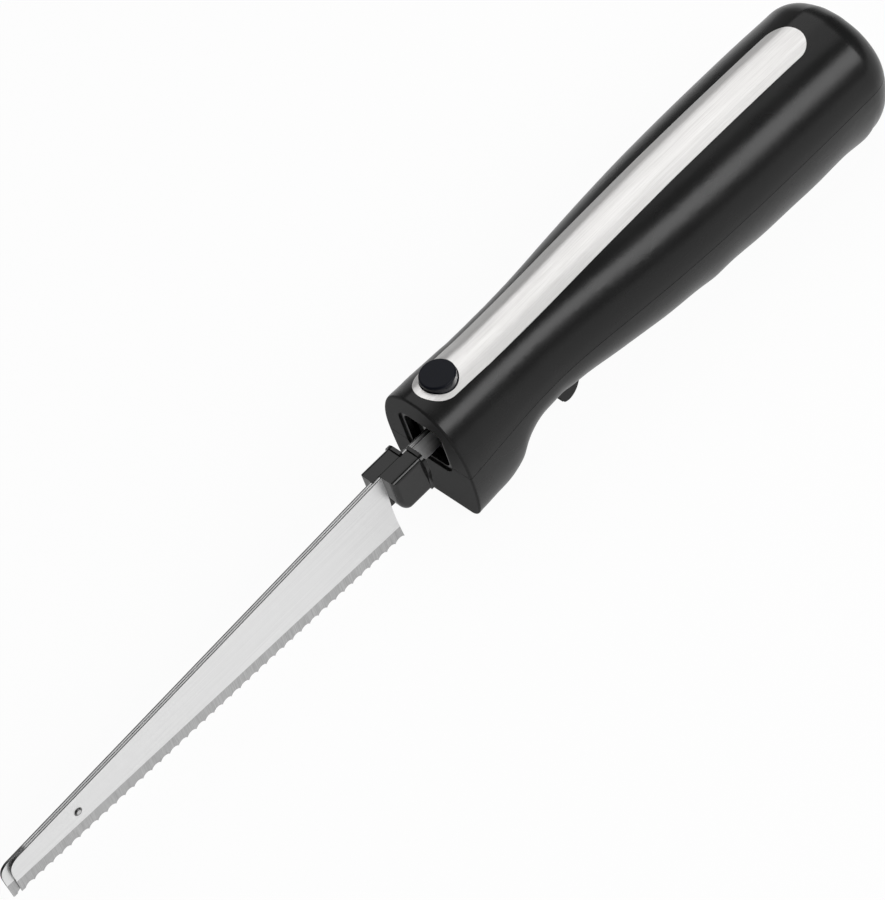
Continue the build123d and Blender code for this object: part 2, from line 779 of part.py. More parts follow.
# Pin that the trigger swings on
with BuildPart() as trigger_pin:
    with BuildSketch(Plane.XZ):
        with Locations((from_face(pivot_x), pivot_z)):
            Circle(pin_radius)
    extrude(amount=ear_outer, both=True)
trigger_pin.part.label = "trigger_pin"
export_step(trigger_pin.part, "parts/trigger_pin.step")

# Coil spring on the pin that swings the trigger forward again
trigger_wire = 0.3
trigger_coil_slack = 0.4
trigger_coil_radius = pin_radius + trigger_wire + trigger_coil_slack
trigger_coil_half = 2.4
trigger_coil_turns = 5

with BuildPart() as trigger_spring:
    with BuildLine():
        trigger_coil = Helix(
            pitch=2 * trigger_coil_half / trigger_coil_turns,
            height=2 * trigger_coil_half,
            radius=trigger_coil_radius,
            center=(from_face(pivot_x), -trigger_coil_half, pivot_z),
            direction=(0, 1, 0),
        )
    with BuildSketch(Plane(origin=trigger_coil @ 0, z_dir=trigger_coil % 0)):
        Circle(trigger_wire)
    sweep(is_frenet=True)
trigger_spring.part.label = "trigger_spring"
export_step(trigger_spring.part, "parts/trigger_spring.step")

# Switch on the front of the gear frame, with the plunger that the trigger's arm lifts
switch_start = 58.0
switch_low = 22.2
switch_high = 28.7
switch_half_width = 2.9
plunger_x = pivot_x + arm_x
plunger_radius = 1.0
plunger_low = pivot_z + arm_top + fit_gap
plunger_pocket = 4.4
plunger_high = plunger_low + plunger_pocket

with BuildPart() as switch_body:
    block_between(switch_start, frame_start, switch_half_width, switch_low, switch_high)
    with BuildSketch(Plane.XY.offset(switch_low)):
        with Locations((from_face(plunger_x), 0)):
            Circle(plunger_radius + running_gap)
    extrude(amount=plunger_pocket, mode=Mode.SUBTRACT)
switch_body.part.label = "switch_body"
export_step(switch_body.part, "parts/switch_body.step")

with BuildPart() as switch_plunger:
    with BuildSketch(Plane.XY.offset(plunger_low)):
        with Locations((from_face(plunger_x), 0)):
            Circle(plunger_radius)
    extrude(amount=plunger_high - plunger_low)
switch_plunger.part.label = "switch_plunger"
export_step(switch_plunger.part, "parts/switch_plunger.step")

# Gear frame: a channel with two side plates for the wheel's axle and a front wall for the shaft's nose
nose_radius = 1.5
nose_bush_radius = 2.5
axle_radius = 1.2
frame_wall = 3.0
plate_front = 76.0
plate_rear = 92.0

with BuildPart() as gear_frame:
    block_between(frame_start, front_bracket_x, frame_half_width, frame_low, frame_low + frame_plate)
    block_between(frame_start, frame_start + frame_wall, frame_half_width, frame_low, frame_front_top)
    with BuildSketch(Plane.XZ):
        with Locations((from_face((frame_start + front_bracket_x) / 2), (frame_low + frame_front_top) / 2)):
            Rectangle(front_bracket_x - frame_start, frame_front_top - frame_low)
        with Locations((from_face((plate_front + plate_rear) / 2), (frame_low + frame_top) / 2)):
            Rectangle(plate_rear - plate_front, frame_top - frame_low)
    extrude(amount=frame_half_width, both=True)
    with BuildSketch(Plane.XY.offset(frame_low + frame_plate)):
        with Locations((from_face((frame_start + frame_wall + front_bracket_x + overrun) / 2), 0)):
            Rectangle(front_bracket_x + overrun - frame_start - frame_wall, 2 * (frame_half_width - frame_plate))
    extrude(amount=handle_height, mode=Mode.SUBTRACT)
    x_bar(frame_start - overrun, frame_start + frame_wall + overrun, nose_bush_radius, 0, motor_z, Mode.SUBTRACT)
    with BuildSketch(Plane.XZ):
        with Locations((from_face(wheel_x), wheel_z)):
            Circle(axle_radius)
    extrude(amount=frame_half_width + overrun, both=True, mode=Mode.SUBTRACT)
gear_frame.part.label = "gear_frame"
export_step(gear_frame.part, "parts/gear_frame.step")

with BuildPart() as wheel_axle:
    with BuildSketch(Plane.XZ):
        with Locations((from_face(wheel_x), wheel_z)):
            Circle(axle_radius)
    extrude(amount=frame_half_width + fit_gap, both=True)
wheel_axle.part.label = "wheel_axle"
export_step(wheel_axle.part, "parts/wheel_axle.step")

# Bushes and the bores they run on
shaft_bush_radius = 4.5
bush_length = 3.5
bushes = {
    "nose_bush": (frame_start, frame_start + frame_wall, nose_bush_radius, nose_radius),
    "front_bush": (front_bracket_x, front_bracket_x + bush_length, shaft_bush_radius, shaft_radius),
    "rear_bush": (rear_bracket_x, rear_bracket_x + bush_length, shaft_bush_radius, shaft_radius),
}
for name, (start, end, outer, inner) in bushes.items():
    with BuildPart() as bush:
        x_bar(start, end, outer, 0, motor_z)
        x_bar(start - overrun, end + overrun, inner + running_gap, 0, motor_z, Mode.SUBTRACT)
    bush.part.label = name
    export_step(bush.part, "parts/" + name + ".step")

# Worm wheel with its crank pins, one on each face and half a turn apart
wheel_half_width = 2.2
tooth_root_width = 1.3
tooth_tip_width = 0.5
tooth_height = wheel_outer - wheel_root
tooth_pitch = 360 / wheel_teeth

with BuildPart() as worm_wheel:
    with BuildSketch(Plane.XZ):
        with Locations((from_face(wheel_x), wheel_z)):
            Circle(wheel_root)
            with PolarLocations(wheel_root, wheel_teeth, start_angle=-90 + tooth_pitch / 2):
                Polygon(
                    (-fit_gap, -tooth_root_width / 2), (tooth_height, -tooth_tip_width / 2),
                    (tooth_height, tooth_tip_width / 2), (-fit_gap, tooth_root_width / 2),
                    align=None,
                )
            Circle(axle_radius + running_gap, mode=Mode.SUBTRACT)
    extrude(amount=wheel_half_width, both=True)
worm_wheel.part.label = "worm_wheel"
export_step(worm_wheel.part, "parts/worm_wheel.step")

pin_length = bar_outer + fit_gap - wheel_half_width
pin_drop = sqrt(crank_radius ** 2 - rest_offset ** 2)
with BuildPart() as crank_pins:
    for side in (-1, 1):
        with BuildSketch(Plane.XZ.offset(-side * wheel_half_width)):
            with Locations((from_face(wheel_x - side * rest_offset), wheel_z - side * pin_drop)):
                Circle(pin_reach_radius)
        extrude(amount=-side * pin_length)
crank_pins.part.label = "crank_pins"
export_step(crank_pins.part, "parts/crank_pins.step")

# Worm: a core with one thread in a helix
worm_core = 2.6
thread_root_width = 1.2
thread_tip_width = 0.6
thread_height = worm_pitch_radius + worm_module - worm_core
thread_lead = pi * worm_module
thread_turns = 6
thread_start = wheel_x - thread_lead * thread_turns / 2
worm_start = thread_start - overrun
worm_end = thread_start + thread_lead * thread_turns + overrun
thread_root_overlap = 0.3

with BuildPart() as drive_worm:
    x_bar(worm_start, worm_end, worm_core, 0, motor_z)
    with BuildLine():
        thread_path = Helix(
            pitch=thread_lead,
            height=thread_lead * thread_turns,
            radius=worm_core,
            center=(from_face(thread_start), 0, motor_z),
            direction=(1, 0, 0),
        )
    with BuildSketch(Plane(origin=thread_path @ 0, x_dir=(1, 0, 0), z_dir=thread_path % 0)) as thread_profile:
        with BuildLine():
            Polyline(
                (-thread_root_width / 2, -thread_root_overlap), (-thread_tip_width / 2, thread_height),
                (thread_tip_width / 2, thread_height), (thread_root_width / 2, -thread_root_overlap),
                (-thread_root_width / 2, -thread_root_overlap),
            )
        make_face()
    sweep(path=thread_path, is_frenet=True)
    x_bar(worm_start - overrun, worm_end + overrun, shaft_radius, 0, motor_z, Mode.SUBTRACT)
drive_worm.part.label = "drive_worm"
export_step(drive_worm.part, "parts/drive_worm.step")

# Motor shaft with a thinner nose
nose_start = frame_start + fit_gap
nose_end = frame_start + frame_wall + overrun
with BuildPart() as motor_shaft:
    x_bar(nose_end, shaft_end, shaft_radius, 0, motor_z)
    x_bar(nose_start, nose_end, nose_radius, 0, motor_z)
motor_shaft.part.label = "motor_shaft"
export_step(motor_shaft.part, "parts/motor_shaft.step")

# Rotor: slotted core, end turns, commutator and fan
core_radius = 11.0
core_start = stator_start + 1.0
core_end = stator_end - 1.0
core_slots = 12
slot_width = 1.6
slot_depth = 4.0

with BuildPart() as rotor_core:
    with BuildSketch(Plane.YZ.offset(from_face(core_start))):
        with Locations((0, motor_z)):
            Circle(core_radius)
            with PolarLocations(core_radius - slot_depth / 2, core_slots):
                Rectangle(slot_depth + overrun, slot_width, mode=Mode.SUBTRACT)
            Circle(shaft_radius, mode=Mode.SUBTRACT)
    extrude(amount=core_end - core_start)
rotor_core.part.label = "rotor_core"
export_step(rotor_core.part, "parts/rotor_core.step")

winding_radius = 9.5
winding_length = 6.5
winding_round = 2.0
with BuildPart() as rotor_windings:
    for start, end in ((core_start - winding_length, core_start), (core_end, core_end + winding_length)):
        x_bar(start, end, winding_radius, 0, motor_z)
    fillet(rotor_windings.edges().filter_by(GeomType.CIRCLE), radius=winding_round)
    x_bar(core_start - winding_length, core_end + winding_length, shaft_radius, 0, motor_z, Mode.SUBTRACT)
rotor_windings.part.label = "rotor_windings"
export_step(rotor_windings.part, "parts/rotor_windings.step")

commutator_start = 157.0
commutator_end = 167.0
commutator_radius = 7.5
commutator_bars = 24
commutator_cut = 0.5
with BuildPart() as commutator:
    with BuildSketch(Plane.YZ.offset(from_face(commutator_start))):
        with Locations((0, motor_z)):
            Circle(commutator_radius)
            with PolarLocations(commutator_radius, commutator_bars):
                Rectangle(2 * commutator_cut, commutator_cut, mode=Mode.SUBTRACT)
            Circle(shaft_radius, mode=Mode.SUBTRACT)
    extrude(amount=commutator_end - commutator_start)
commutator.part.label = "commutator"
export_step(commutator.part, "parts/commutator.step")

fan_start = 110.5
fan_disc = 1.2
fan_depth = 5.5
fan_radius = 15.5
fan_hub = 4.5
fan_blades = 9
fan_blade_thickness = 1.2
fan_blade_lean = 25
with BuildPart() as cooling_fan:
    x_bar(fan_start + fan_depth, fan_start + fan_depth + fan_disc, fan_radius, 0, motor_z)
    x_bar(fan_start, fan_start + fan_depth, fan_hub, 0, motor_z)
    with BuildSketch(Plane.YZ.offset(from_face(fan_start))):
        with Locations((0, motor_z)):
            with PolarLocations((fan_radius + fan_hub) / 2, fan_blades):
                Rectangle(fan_radius - fan_hub - overrun, fan_blade_thickness, rotation=fan_blade_lean)
    extrude(amount=fan_depth)
    x_bar(fan_start - overrun, fan_start + fan_depth + fan_disc + overrun, shaft_radius, 0, motor_z, Mode.SUBTRACT)
cooling_fan.part.label = "cooling_fan"
export_step(cooling_fan.part, "parts/cooling_fan.step")

# Stator: ring with two pole shoes at the sides, and a coil above and below the rotor
pole_half_angle = 48
coil_half_angle = 36
coil_slack = 0.4
coil_inner = stator_bore + coil_slack
coil_outer = stator_inner - coil_slack / 2
coil_overhang = 6.0


def ring_sector(middle_angle, half_angle, inner, outer, mode=Mode.ADD):
    """A sector of a ring round the motor's axis."""
    first = radians(middle_angle - half_angle)
    last = radians(middle_angle + half_angle)
    centre = radians(middle_angle)

    def spot(radius, angle):
        return (radius * cos(angle), motor_z + radius * sin(angle))

    with BuildLine() as outline:
        ThreePointArc(spot(inner, first), spot(inner, centre), spot(inner, last))
        Line(spot(inner, last), spot(outer, last))
        ThreePointArc(spot(outer, last), spot(outer, centre), spot(outer, first))
        Line(spot(outer, first), spot(inner, first))
    make_face(outline.edges(), mode=mode)


with BuildPart() as stator_core:
    with BuildSketch(Plane.YZ.offset(from_face(stator_start))):
        with Locations((0, motor_z)):
            Circle(stator_radius)
            Circle(stator_inner, mode=Mode.SUBTRACT)
        for middle_angle in (0, 180):
            ring_sector(middle_angle, pole_half_angle, stator_bore, stator_inner + fit_gap)
        with Locations((motor_screw_place, motor_z), (-motor_screw_place, motor_z)):
            Circle(motor_screw_radius, mode=Mode.SUBTRACT)
    extrude(amount=stator_end - stator_start)
stator_core.part.label = "stator_core"
export_step(stator_core.part, "parts/stator_core.step")

with BuildPart() as field_coils:
    with BuildSketch(Plane.YZ.offset(from_face(stator_start - coil_overhang))):
        for middle_angle in (90, 270):
            ring_sector(middle_angle, coil_half_angle, coil_inner, coil_outer)
    extrude(amount=stator_end - stator_start + 2 * coil_overhang)
field_coils.part.label = "field_coils"
export_step(field_coils.part, "parts/field_coils.step")

# Rubber rings between the stator and the shells' ribs
with BuildPart() as motor_rings:
    for start in ring_starts:
        x_bar(start, start + ring_width, ring_radius, 0, motor_z)
        x_bar(start, start + ring_width, stator_radius, 0, motor_z, Mode.SUBTRACT)
motor_rings.part.label = "motor_rings"
export_step(motor_rings.part, "parts/motor_rings.step")

# Bearing brackets, held to the stator by two long screws
for name, start in (("front_bracket", front_bracket_x), ("rear_bracket", rear_bracket_x)):
    with BuildPart() as bracket:
        with BuildSketch(Plane.YZ.offset(from_face(start))):
            with Locations((0, motor_z)):
                Circle(bracket_radius)
                Rectangle(2 * bracket_radius, 2 * bracket_half_height, mode=Mode.INTERSECT)
                Circle(shaft_bush_radius, mode=Mode.SUBTRACT)
            with Locations((motor_screw_place, motor_z), (-motor_screw_place, motor_z)):
                Circle(motor_screw_radius, mode=Mode.SUBTRACT)
        extrude(amount=bracket_thickness)
    bracket.part.label = name
    export_step(bracket.part, "parts/" + name + ".step")

motor_head_radius = 2.0
motor_head_height = 1.6
with BuildPart() as motor_screws:
    for y in (motor_screw_place, -motor_screw_place):
        x_bar(front_bracket_x, rear_bracket_x + bracket_thickness, motor_screw_radius, y, motor_z)
        x_bar(front_bracket_x - motor_head_height, front_bracket_x, motor_head_radius, y, motor_z)
        x_bar(
            rear_bracket_x + bracket_thickness, rear_bracket_x + bracket_thickness + motor_head_height,
            motor_head_radius, y, motor_z,
        )
motor_screws.part.label = "motor_screws"
export_step(motor_screws.part, "parts/motor_screws.step")

# Brush gear above and below the commutator
brush_x = 162.0
brush_half = 2.2
holder_half = 3.4
holder_lift = 0.9
holder_near = commutator_radius + holder_lift
holder_far = 19.5
holder_cap = 1.0
brush_length = 5.4
brush_gap = 0.1
brush_wire = 0.3
brush_turns = 5

with BuildPart() as brush_holders:
    with BuildSketch(Plane.XY.offset(motor_z + holder_near)):
        with Locations((from_face((brush_x - holder_half + rear_bracket_x) / 2), 0)):
            Rectangle(rear_bracket_x - brush_x + holder_half, 2 * holder_half)
    extrude(amount=holder_far - holder_near)
    with BuildSketch(Plane.XY.offset(motor_z + holder_near)):
        with Locations((from_face(brush_x), 0)):
            Rectangle(2 * brush_half, 2 * brush_half)
    extrude(amount=holder_far - holder_near - holder_cap, mode=Mode.SUBTRACT)
    mirror(about=Plane.XY.offset(motor_z))
brush_holders.part.label = "brush_holders"
export_step(brush_holders.part, "parts/brush_holders.step")

with BuildPart() as carbon_brushes:
    with BuildSketch(Plane.XY.offset(motor_z + commutator_radius + brush_gap)):
        with Locations((from_face(brush_x), 0)):
            Rectangle(2 * brush_half - brush_gap, 2 * brush_half - brush_gap)
    extrude(amount=brush_length)
    mirror(about=Plane.XY.offset(motor_z))
carbon_brushes.part.label = "carbon_brushes"
export_step(carbon_brushes.part, "parts/carbon_brushes.step")

brush_spring_low = motor_z + commutator_radius + brush_gap + brush_length + brush_wire
brush_spring_height = motor_z + holder_far - holder_cap - brush_wire - brush_spring_low
with BuildPart() as brush_springs:
    with BuildLine():
        brush_coil = Helix(
            pitch=brush_spring_height / brush_turns,
            height=brush_spring_height,
            radius=brush_half - 2 * brush_wire,
            center=(from_face(brush_x), 0, brush_spring_low),
        )
    with BuildSketch(Plane(origin=brush_coil @ 0, z_dir=brush_coil % 0)):
        Circle(brush_wire)
    sweep(is_frenet=True)
    mirror(about=Plane.XY.offset(motor_z))
brush_springs.part.label = "brush_springs"
export_step(brush_springs.part, "parts/brush_springs.step")

# Capacitor against interference, under its rib in the upper shell
capacitor_corner = 1.5
with BuildPart() as noise_capacitor:
    block_between(capacitor_start, capacitor_end, capacitor_half_width, capacitor_low, capacitor_high)
    fillet(noise_capacitor.edges().filter_by(Axis.Z), radius=capacitor_corner)
noise_capacitor.part.label = "noise_capacitor"
export_step(noise_capacitor.part, "parts/noise_capacitor.step")

# Cord gland in the rear wall, open for a cord
gland_flange_radius = 7.6
gland_flange = 3.3
gland_flange_start = handle_length - wall - gland_flange
with BuildPart() as cord_gland:
    x_bar(gland_start, handle_length, gland_radius, 0, cord_z)
    x_bar(gland_flange_start, handle_length - wall, gland_flange_radius, 0, cord_z)
    x_bar(gland_start - overrun, handle_length + overrun, cord_bore, 0, cord_z, Mode.SUBTRACT)
cord_gland.part.label = "cord_gland"
export_step(cord_gland.part, "parts/cord_gland.step")

# Clamp bar over the cord's channel, with its two screws
clamp_thickness = 2.5
clamp_head_radius = 2.2
clamp_head_height = 1.6
with BuildPart() as cord_clamp:
    block_between(clamp_start, clamp_start + clamp_width, clamp_half_width, clamp_rib_top, clamp_rib_top + clamp_thickness)
    with BuildSketch(Plane.XY.offset(clamp_rib_top)):
        with Locations(*[(from_face(clamp_start + clamp_width / 2), y) for y in (clamp_screw_y, -clamp_screw_y)]):
            Circle(clamp_screw_radius)
    extrude(amount=clamp_thickness, mode=Mode.SUBTRACT)
cord_clamp.part.label = "cord_clamp"
export_step(cord_clamp.part, "parts/cord_clamp.step")

with BuildPart() as clamp_screws:
    clamp_spots = [(from_face(clamp_start + clamp_width / 2), y) for y in (clamp_screw_y, -clamp_screw_y)]
    with BuildSketch(Plane.XY.offset(clamp_rib_top - clamp_screw_depth)):
        with Locations(*clamp_spots):
            Circle(clamp_screw_radius)
    extrude(amount=clamp_screw_depth + clamp_thickness)
    with BuildSketch(Plane.XY.offset(clamp_rib_top + clamp_thickness)):
        with Locations(*clamp_spots):
            Circle(clamp_head_radius)
    extrude(amount=clamp_head_height)
clamp_screws.part.label = "clamp_screws"
export_step(clamp_screws.part, "parts/clamp_screws.step")
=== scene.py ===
import json
import math

import bpy
from mathutils import Matrix, Vector


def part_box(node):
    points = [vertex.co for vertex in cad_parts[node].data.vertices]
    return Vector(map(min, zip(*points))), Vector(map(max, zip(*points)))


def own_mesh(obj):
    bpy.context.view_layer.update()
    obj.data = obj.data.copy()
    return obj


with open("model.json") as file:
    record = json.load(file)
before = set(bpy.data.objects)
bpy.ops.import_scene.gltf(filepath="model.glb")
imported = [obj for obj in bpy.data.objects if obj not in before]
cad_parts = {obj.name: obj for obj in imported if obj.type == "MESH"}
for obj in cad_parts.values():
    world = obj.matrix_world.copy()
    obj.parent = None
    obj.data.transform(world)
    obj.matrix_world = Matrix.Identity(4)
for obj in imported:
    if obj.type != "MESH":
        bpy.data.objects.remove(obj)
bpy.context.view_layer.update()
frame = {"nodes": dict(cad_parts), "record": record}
nodes = frame["nodes"]
print("frame loaded:", len(nodes), "nodes")


# Camera, at the place the photograph was taken from

shellLow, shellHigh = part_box("lower_shell")
camSetup = {
    "azimuth": -29.0,       # degrees round from the blades' side
    "elevation": 50.0,
    "roll": 21.2,
    "distance": 1.6,        # metres from the aim point
    "lens": 187.5,
    "aim": (shellLow[0] + 0.002, 0.0, 0.033),     # just behind the handle's front face
    "aimPixel": (430.0, 440.0),   # where the aim point lies in the picture
    "pictureSize": (885.0, 900.0),
    "sensor": 36.0,
    "farthest": 20.0,
}


def makeCamera(s):
    azimuth, elevation, roll = (math.radians(s[key]) for key in ("azimuth", "elevation", "roll"))
    level = math.cos(elevation)
    back = Vector((math.sin(azimuth) * level, -math.cos(azimuth) * level, math.sin(elevation)))
    right = Vector((math.cos(azimuth), math.sin(azimuth), 0.0))
    up = back.cross(right)
    pictureRight = right * math.cos(roll) - up * math.sin(roll)
    pictureUp = right * math.sin(roll) + up * math.cos(roll)
    metresPerPixel = s["distance"] * s["sensor"] / s["lens"] / max(s["pictureSize"])
    shiftRight = (s["pictureSize"][0] / 2 - s["aimPixel"][0]) * metresPerPixel
    shiftDown = (s["pictureSize"][1] / 2 - s["aimPixel"][1]) * metresPerPixel
    middle = Vector(s["aim"]) + pictureRight * shiftRight - pictureUp * shiftDown
    camData = bpy.data.cameras.new("camera")
    camData.lens = s["lens"]
    camData.sensor_width = s["sensor"]
    camData.clip_end = s["farthest"]
    cam = bpy.data.objects.new("camera", camData)
    turn = Matrix((pictureRight, pictureUp, back)).transposed().to_4x4()
    cam.matrix_world = Matrix.Translation(middle + back * s["distance"]) @ turn
    bpy.context.scene.collection.objects.link(cam)
    bpy.context.scene.camera = cam


makeCamera(camSetup)
print("camera placed")


# A shader number: sums, products and the like become Math nodes
class Maths:

    def __init__(self, tree, socket):
        self.tree = tree
        self.socket = socket

    def then(self, operation, *others):
        sockets = dict(enumerate((self, *others)))
        made = self.tree.add("ShaderNodeMath", {"operation": operation}, sockets)
        return Maths(self.tree, made.outputs[0])

    def __add__(self, other):
        return self.then("ADD", other)

    def __radd__(self, other):
        return self.then("ADD", other)

    def __sub__(self, other):
        return self.then("SUBTRACT", other)

    def __rsub__(self, other):
        return (self * -1.0).then("ADD", other)

    def __mul__(self, other):
        return self.then("MULTIPLY", other)

    def __rmul__(self, other):
        return self.then("MULTIPLY", other)

    # 0 below the edge and 1 above it, with a soft step of that width
    def above(self, edge, width):
        step = self.tree.add("ShaderNodeMapRange", {"interpolation_type": "SMOOTHSTEP"}, {
            "Value": self, "From Min": edge - width / 2, "From Max": edge + width / 2,
        })
        return Maths(self.tree, step.outputs["Result"])

    # carries the span 0 to 1 over to low to high
    def spread(self, low, high):
        return self * (high - low) + low


# A node tree, in which every node comes from add
class Tree:

    def __init__(self, owner):
        owner.use_nodes = True
        self.nodes = owner.node_tree.nodes
        self.links = owner.node_tree.links

    def feed(self, socket, value):
        if isinstance(value, Maths):
            self.links.new(value.socket, socket)
        elif isinstance(value, bpy.types.NodeSocket):
            self.links.new(value, socket)
        else:
            socket.default_value = value

    def add(self, kind, settings, sockets):
        made = self.nodes.new(kind)
        for key, value in settings.items():
            setattr(made, key, value)
        for key, value in sockets.items():
            self.feed(made.inputs[key], value)
        return made


# One material's node tree, with a Principled BSDF
class Shader(Tree):

    def __init__(self, name, constants):
        self.material = bpy.data.materials.new(name)
        super().__init__(self.material)
        self.surface = self.nodes["Principled BSDF"]
        for socket, value in constants.items():
            self.surface.inputs[socket].default_value = value
        self.point = self.add("ShaderNodeTexCoord", {}, {}).outputs["Object"]
        parts = self.add("ShaderNodeSeparateXYZ", {}, {"Vector": self.point})
        self.x, self.y, self.z = (Maths(self, parts.outputs[axis]) for axis in "XYZ")

    # noise in object space, with that many waves per metre along x, y and z
    def noise(self, stretch, detail=3.0, roughness=0.5):
        turned = self.add("ShaderNodeVectorMath", {"operation": "MULTIPLY"}, {0: self.point, 1: stretch})
        made = self.add("ShaderNodeTexNoise", {}, {
            "Vector": turned.outputs["Vector"], "Scale": 1.0, "Detail": detail, "Roughness": roughness,
        })
        return Maths(self, made.outputs["Fac"])

    def grain(self, waves, detail):
        return self.noise((waves,) * 3, detail=detail)

    def colour(self, share, first, second):
        made = self.add("ShaderNodeMix", {"data_type": "RGBA"}, {0: share, 6: first, 7: second})
        return made.outputs[2]

    def bump(self, height, strength, distance):
        made = self.add("ShaderNodeBump", {}, {"Strength": strength, "Distance": distance, "Height": height})
        self.feed(self.surface.inputs["Normal"], made.outputs["Normal"])

    def set(self, **values):
        names = {
            "baseColour": "Base Color", "roughness": "Roughness", "metallic": "Metallic", "coat": "Coat Weight",
        }
        for key, value in values.items():
            self.feed(self.surface.inputs[names[key]], value)
        return self.material


def grey(value, warmth=0.0):
    return (value * (1 + warmth), value, value * (1 - warmth), 1.0)


# Materials of the handle

plasticSetup = {
    "specular": 0.3,
    "black": 0.0045,
    "dust": 0.0085,
    "gloss": (0.22, 0.32),
    "faceDull": 0.6,         # the front face is duller than the sides
    "faceDepth": 0.0006,
    "haze": (40.0, 60.0, 60.0),
    "grain": 9000.0,
    "bump": (0.04, 0.00002),
}


def handlePlastic():
    s = plasticSetup
    shader = Shader("handlePlastic", {"Specular IOR Level": s["specular"]})
    haze = shader.noise(s["haze"], detail=4.0)
    grain = shader.grain(s["grain"], detail=1.0)
    side = shader.x.above(shellLow[0] + s["faceDepth"], s["faceDepth"])
    shader.bump(grain, *s["bump"])
    return shader.set(
        baseColour=shader.colour(haze, grey(s["black"]), grey(s["dust"])),
        roughness=haze.spread(*s["gloss"]) * side + s["faceDull"] * (1.0 - side),
    )


stripSetup = {
    "light": 0.9,
    "dark": 0.74,
    "warmth": {"light": 0.012, "dark": 0.016},
    "roughness": (0.5, 0.36),     # of the dark lines and of the light ones
    "lines": (45.0, 5200.0, 2200.0),
    "linesShare": 0.65,
    "streaks": (12.0, 900.0, 500.0),
    "streaksShare": 0.35,
    "contrast": (0.5, 0.5),
    "bump": (0.35, 0.00006),
}


def stripSteel():
    s = stripSetup
    shader = Shader("stripSteel", {})
    lines = shader.noise(s["lines"], detail=4.0, roughness=0.6)
    streaks = shader.noise(s["streaks"], detail=3.0)
    shade = (lines * s["linesShare"] + streaks * s["streaksShare"]).above(*s["contrast"])
    shader.bump(lines, *s["bump"])
    dark, light = (grey(s[tone], s["warmth"][tone]) for tone in ("dark", "light"))
    return shader.set(
        metallic=1.0,
        baseColour=shader.colour(shade, dark, light),
        roughness=shade.spread(*s["roughness"]),
    )


buttonLow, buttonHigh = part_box("release_button")
buttonSetup = {
    "specular": 0.12,
    "dark": (0.0035, 0.0045, 0.008, 1.0),
    "light": (0.007, 0.008, 0.013, 1.0),
    "roughness": (0.26, 0.36),
    "capDepth": 0.0008,      # below this the wall is glossy, above it the cap is dull
    "capEdge": 0.0005,
    "wallCoat": 0.9,
    "coatRoughness": 0.12,
    "haze": 300.0,
    "grain": 6000.0,
    "bump": (0.08, 0.00004),
}


def buttonPlastic():
    s = buttonSetup
    shader = Shader("buttonPlastic", {
        "Specular IOR Level": s["specular"], "Coat Roughness": s["coatRoughness"],
    })
    haze = shader.grain(s["haze"], detail=3.0)
    grain = shader.grain(s["grain"], detail=2.0)
    cap = shader.z.above(buttonHigh[2] - s["capDepth"], s["capEdge"])
    shader.bump(grain, *s["bump"])
    return shader.set(
        baseColour=shader.colour(haze, s["dark"], s["light"]),
        roughness=haze.spread(*s["roughness"]),
        coat=(1.0 - cap) * s["wallCoat"],
    )


# Materials of the blades

bladeLow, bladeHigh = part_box("near_blade")
rivetLow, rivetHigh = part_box("blade_rivet")
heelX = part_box("near_blade_holder")[0][0]
bladeSetup = {
    "anisotropic": 0.4,
    "light": 0.93,
    "dark": 0.84,
    "contrast": (0.5, 0.7),
    "along": (30.0, 300.0, 2500.0),
    "bevel": (0.4, 0.6),
    "bevelContrast": (0.5, 0.5),
    "across": (4500.0, 300.0, 60.0),
    "edgeSlope": -0.0408,     # rise of the tooth line towards the heel
    "bevelHeight": 0.0068,
    "bevelEdge": 0.0002,
    "rimShade": (0.1, 0.5),        # painted shade on the back edge, dark on its outer corner and lighter towards the split
    "rimInset": 0.00003,      # between the blade's two faces the rim starts this far in
    "rimEdge": 0.00004,
    "rimCorner": 0.00045,
    "cornerEdge": 0.0001,
    "tipReach": 0.0085,
    "tipEdge": 0.002,
    # a painted shadow of the countersink: a dark ring on the near face round the rivet
    "ring": {"from": 0.0013, "fromEdge": 0.0002, "to": 0.0017, "toEdge": 0.0003, "share": 0.8},
    "farSideEdge": 0.0001,
    "bump": (0.1, 0.00003),
    "roughness": (0.28, 0.48),
}


# distance from the rivet's axis, which runs along y
def aroundRivet(shader):
    across = shader.x - (rivetLow[0] + rivetHigh[0]) / 2
    up = shader.z - (rivetLow[2] + rivetHigh[2]) / 2
    return (across * across + up * up).then("SQRT")


